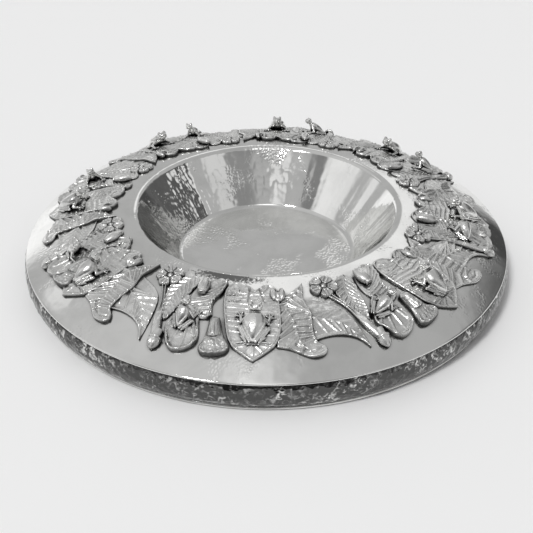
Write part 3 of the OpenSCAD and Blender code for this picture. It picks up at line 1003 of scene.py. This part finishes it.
def bell_height(p, inset):
    """A bell flower lying down: a folded crown, a flared skirt and a thick rim round its end."""
    x, y = into(p, BELL_AT, BELL_TURN).T
    open_to = 4.4 + 2.2 * rise(x, -15, 12) + 5.6 * rise(x, 1, 8)
    skirt = 1.6 + 2.6 * dome(y, open_to + 1.2)
    skirt += 0.2 * np.cos(np.arctan2(y, x + 12) * 34) * rise(x, 2, 4)
    skirt += 0.26 * waves(x / 0.85, y / 0.85, 41) * rise(x, 1, 4)
    hem = 1.9 * rise(x, 4, 5) * hill(inset - 1.5, 1.25)
    wide = 4.2 + 1.9 * rise(x, -15, 14)
    crown = 1.4 + 5.8 * dome(y, wide) * rise(x, -17, 6) ** 0.6
    crown -= 0.75 * hill(y - 1.1, 0.5) * rise(x, -11, 5)
    crown -= 0.45 * hill(y + 2.6, 0.5) * rise(x, -9, 5)
    lip = 2.0 - 0.05 * y**2
    ends = 1 - smooth((x - lip) / 1.1)
    dot = 1.1 * np.exp(-((x - lip + 0.6) ** 2 + (y + 0.6) ** 2) / 0.9)
    return np.maximum(skirt + hem, crown * ends - dot)


HEART = Plate(joined([[142.5, 4], [141, 10], [145, 15.5], [152, 17.6], [162, 19], [174, 20.4],
                      [184, 21], [193, 19.5], [199, 16.4]],
                     [[205.8, 8.4], [211.6, 0]],
                     [[206.4, -8.4], [200.6, -16.4]],
                     [[193.4, -20.2], [185, -22.4], [176, -24], [166, -25.4], [156.5, -26],
                      [147, -25], [140.5, -21.5], [138.4, -15.5], [141, -8.5], [148, -1.5]]),
              heart_height)
RIBBED = Plate(joined(RIBBED_EDGE[1:],
                      [[200, 19], [204.5, 21.3], [208.6, 17.5], [209.6, 9], [207, 2],
                       [202.3, -7], [199.5, -17]],
                      [[186, -15], [172, -13], [161, -10.5]],
                      [[152, -2], RIBBED_EDGE[0]]), ribbed_height)
POINTED = Plate(joined(POINTED_UPPER[1:], POINTED_LOWER[1:],
                       [[186, -22], [172, -21], POINTED_UPPER[0]]), pointed_height)


def leaves(kind, plate, offset):
    """One node for each motif's leaf, offset degrees after the motif starts."""
    for i in range(UNITS):
        points, faces = plate.copy(place(i, offset), 10 * i + len(kind))
        node = f"{kind}_{i + 1}"
        add(node + "_cast", node, "leaf_silver", points, faces, LEAF_SILVER)


leaves("heart_leaf", HEART, 0)
leaves("ribbed_leaf", RIBBED, 10)
leaves("pointed_leaf", POINTED, 18)


def flowers(node, plate, offset, material, wobble=0.12):
    """One node for all eight motifs' casts of a small flower or leaf."""
    parts = [plate.copy(place(i, offset), 7 * i + len(node), wobble) for i in range(UNITS)]
    add(node + "_cast", node, "leaf_silver", *gather(parts), material)


def five_petals(node, middle, radius, spin, tall, offset):
    """The eight casts of a five-petal flower."""
    outline = petal_outline(middle, radius, spin)
    shape = Plate(outline, petal_height(middle, radius, spin, tall), FINE)
    flowers(node, shape, offset, PETAL_SILVER)


five_petals("five_petal_flowers", 147.5, 12.4, 0, 4.2, 21)
five_petals("small_flowers", 154.0, 8.6, 36, 4.0, 43.8)
FISHBONE = joined([[186, 2.5], [175, 5.5], [164.4, 6.5], [152, 8.5], [144, 8.5], [139.5, 4],
                   [141, -2], [146.5, -7.7], [155, -12], [163, -12], [171, -9.5], [179, -6.5],
                   [186, -3], [189.5, 0]])
flowers("fishbone_leaves", Plate(FISHBONE, fishbone_height, 0.5), 28, LEAF_SILVER)
BELL_HALF = [[-15, -3.4], [-11, -4.8], [-3, -6.2], [3, -8.4], [7.5, -11], [11.5, -11.6],
             [15, -7.6]]
OTHER_HALF = [[x, -y] for x, y in BELL_HALF[::-1]]
BELL = turned(joined([*BELL_HALF, [16, 0], *OTHER_HALF, [-16, 0]]), BELL_TURN)
flowers("bell_flowers", Plate(BELL + [BELL_AT, 0], bell_height, FINE), 41.4, BELL_SILVER, 0.15)
ROUND = joined([[176, -7.5], [184, -10.5], [191.7, -13.5], [200, -10.5], [207.5, -6.3]],
               [[210.7, -1.3], [210.6, 3.5], [208.5, 9], [204.2, 14], [199, 16],
                [193.7, 15.4], [184.1, 11.5], [176, 7.5], [170, -2]])
flowers("round_leaves", Plate(ROUND, round_height, 0.5), 33.3, LEAF_SILVER, 0.3)
SIDE = joined(SIDE_EDGE[1:], [[179.5, 2], [180.5, -4], [177, -11], [169, -16.5], [159, -18],
                              [149, -15.5], [141, -9], [137, -2], SIDE_EDGE[0]])
flowers("side_leaves", Plate(SIDE, side_height, 0.5), 37.8, LEAF_SILVER, 0.3)


def stems():
    """Slim stems with two raised cords, from the flower to the bud."""
    parts = []
    for i in range(UNITS):
        middle = spline([[157, 21.4], [164, 23.0], [172, 24.6], [182, 25.9], [193, 27.1],
                         [204, 28.5]], 8)
        a = np.radians([place(i, o) - place(i, 24) for o in middle[:, 1]])
        line = np.stack([middle[:, 0] * np.cos(a), middle[:, 0] * np.sin(a)], -1)
        way = np.gradient(line, axis=0)
        side = np.stack([-way[:, 1], way[:, 0]], -1)
        side /= np.linalg.norm(side, axis=1)[:, None]
        t = np.linspace(0, 1, len(line))[:, None]
        half = 1.5 + 0.6 * (1 - t) ** 2 + 2.0 * rise(t, 0.42, 0.4)
        loop = np.vstack([line - side * half, (line + side * half)[::-1]])

        def height(p, inset, line=line):
            d, t = nearest(p, line)
            club = rise(t, 0.42, 0.35)
            cord = 0.9 * hill(inset - 0.75, 0.6) - 0.5 * hill(d, 0.5)
            return 1.5 + (1 - club) * cord + 3.1 * club * dome(d, 3.9)

        parts.append(Plate(loop, height, FINE).copy(place(i, 24), i, 0.1))
    add("bud_stems_cast", "bud_stems", "leaf_silver", *gather(parts), LEAF_SILVER)


stems()


def buds(node, field, low, high, offset, at, heading, up):
    """One node for all eight motifs' casts of a small rounded body at a radius."""
    points, faces = surface(field, low, high, FINE)
    parts = []
    for i in range(UNITS):
        grow = 1 + 0.03 * (scatter(i, len(node), 51) - 0.5)
        turn = heading + 5 * (scatter(i, len(node), 52) - 0.5)
        parts.append((settle(seat(points * grow, place(i, offset), at, turn, up)), faces))
    add(node + "_cast", node, "leaf_silver", *gather(parts), PETAL_SILVER)


buds("stem_buds", bud_field, (-10, -7, -5), (8, 7, 8), 28.8, 207, 0, 0.6)
buds("closed_buds", closed_bud_field, (-12, -7, -3), (12, 7, 8), 33.9, 150, 11, 2.0)
buds("tulip_buds", tulip_field, (-8, -8, -3), (10, 8, 8), 6.3, 152, 0, 0.4)


def frogs(kind, field, step, size, offset, at, headings, widths, up):
    """One node for each motif's frog, each with its own heading and width."""
    points, faces = surface(field, (-23, -18, -2.4), (18, 18, 27), step)
    for i in range(UNITS):
        grow = size * (1 + 0.03 * (scatter(i, len(kind), 61) - 0.5))
        turn = headings[i] + 6 * (scatter(i, len(kind), 62) - 0.5)
        node = f"{kind}_{i + 1}"
        placed = seat(points * grow * [1, widths[i], 1], place(i, offset), at, turn, up)
        add(node + "_cast", node, "frog_silver", settle(placed), faces, FROG_SILVER)


frogs("frog_large", frog_field(18, 4, 9.0), FINE, 1.0, 0, 184, [0] * UNITS,
      [0.86, 1, 0.93, 0.88, 0.95, 0.9, 0.94, 0.88], 3.0)
frogs("frog_small", frog_field(33, 12, 7.4), 0.46, 0.78, 33, 183,
      [-8, -64, -60, -50, -62, -48, -58, -66], [0.95, 0.9, 0.94, 0.9, 0.96, 0.92, 0.9, 0.95], 2.6)


# ---- Floor, light and camera ----
# The studio: its even grey, and patches as azimuth from +X, elevation, inner and outer angle
# of the fade, and brightness
ROOM = 0.43
PATCHES = [
    (-90, -5, 20, 52, 0.10), (-90, 84, 6, 15, 0.95), (-90, 64, 5, 12, 1.5),
    (0, 64, 12, 36, 0.40), (170, 60, 12, 34, 0.54), (88, 49, 5, 13, 0.85),
    (124, 6, 8, 18, 1.0), (28, 16, 8, 26, 0.10), (52, 10, 4, 13, 0.06),
    (74, 24, 4, 9, 0.85), (74, 36, 4, 9, 0.85), (-106, 46, 3, 8, 0.75),
    (180, 30, 6, 15, 0.75), (155, 17, 3, 9, 0.75), (143, 34, 2, 7, 0.72),
    (-150, 38, 4, 10, 0.22), (-60, 42, 4, 16, 0.26), (8, 27, 8, 17, 0.09),
    (20, 14, 2, 6, 0.75), (-4, 31, 2, 5, 0.75), (10, 27, 1.5, 4, 0.7),
    (-130, 54, 3, 10, 0.8), (-168, 36, 4, 13, 0.8), (-32, 41, 5, 11, 0.62),
]

# Both lights come from the front left
SUN_AT = Vector((-0.95, -1.15, 2.1))


def floor():
    """A pale floor, far wider than the view."""
    material, shader, nodes = new_material("pale_floor", "Generated", 1.0)
    nodes.join(0.85, shader.inputs["Roughness"])
    cloud = nodes.add("ShaderNodeTexNoise", {"Vector": nodes.where, "Scale": 3.0})
    nodes.join(nodes.mix(cloud.outputs["Fac"], 0.94, 0.97), shader.inputs["Base Color"])
    mesh = bpy.data.meshes.new("floor")
    far = 12
    mesh.from_pydata([(-far, -far, 0), (far, -far, 0), (far, far, 0), (-far, far, 0)], [],
                     [(0, 1, 2, 3)])
    mesh.materials.append(material)
    put("floor", mesh)


def studio():
    """A plain soft studio: an even grey room with soft light and dark patches in it."""
    world = bpy.data.worlds.new("studio")
    scene.world = world
    world.use_nodes = True
    nodes = Nodes(world.node_tree, "Generated", 1.0)
    shade = ROOM
    for azimuth, elevation, inner, outer, value in PATCHES:
        (ca, sa), (ce, se) = cos_sin(azimuth), cos_sin(elevation)
        way = (ca * ce, sa * ce, se)
        near = nodes.add("ShaderNodeVectorMath", {0: nodes.where, 1: way}, operation="DOT_PRODUCT")
        share = nodes.span(near.outputs["Value"], cos_sin(outer)[0], cos_sin(inner)[0])
        shade = nodes.mix(share, shade, value)
    nodes.join(shade, world.node_tree.nodes["Background"].inputs["Color"])


def sun(name, energy, angle, mirrored=True):
    """A light from far off. Its angle in degrees sets how soft its shadows are."""
    lamp = bpy.data.lights.new(name, "SUN")
    lamp.energy = energy
    lamp.angle = radians(angle)
    made = put(name, lamp)
    made.location = SUN_AT
    made.rotation_euler = (-SUN_AT).to_track_quat("-Z", "Y").to_euler()
    made.visible_glossy = mirrored


def camera():
    """A camera in front of the dish that looks down at it."""
    lens = bpy.data.cameras.new("camera")
    lens.lens = 54.37
    lens.sensor_width = 36
    lens.clip_start = 0.01
    made = put("camera", lens)
    made.location = (0, -0.6745, 0.4287)
    made.rotation_euler = (radians(56.58), 0, 0)
    scene.camera = made


floor()
studio()
sun("sun", 0.5, 9)
sun("floor_fill", 1.1, 16, mirrored=False)
camera()
scene.view_settings.view_transform = "Standard"
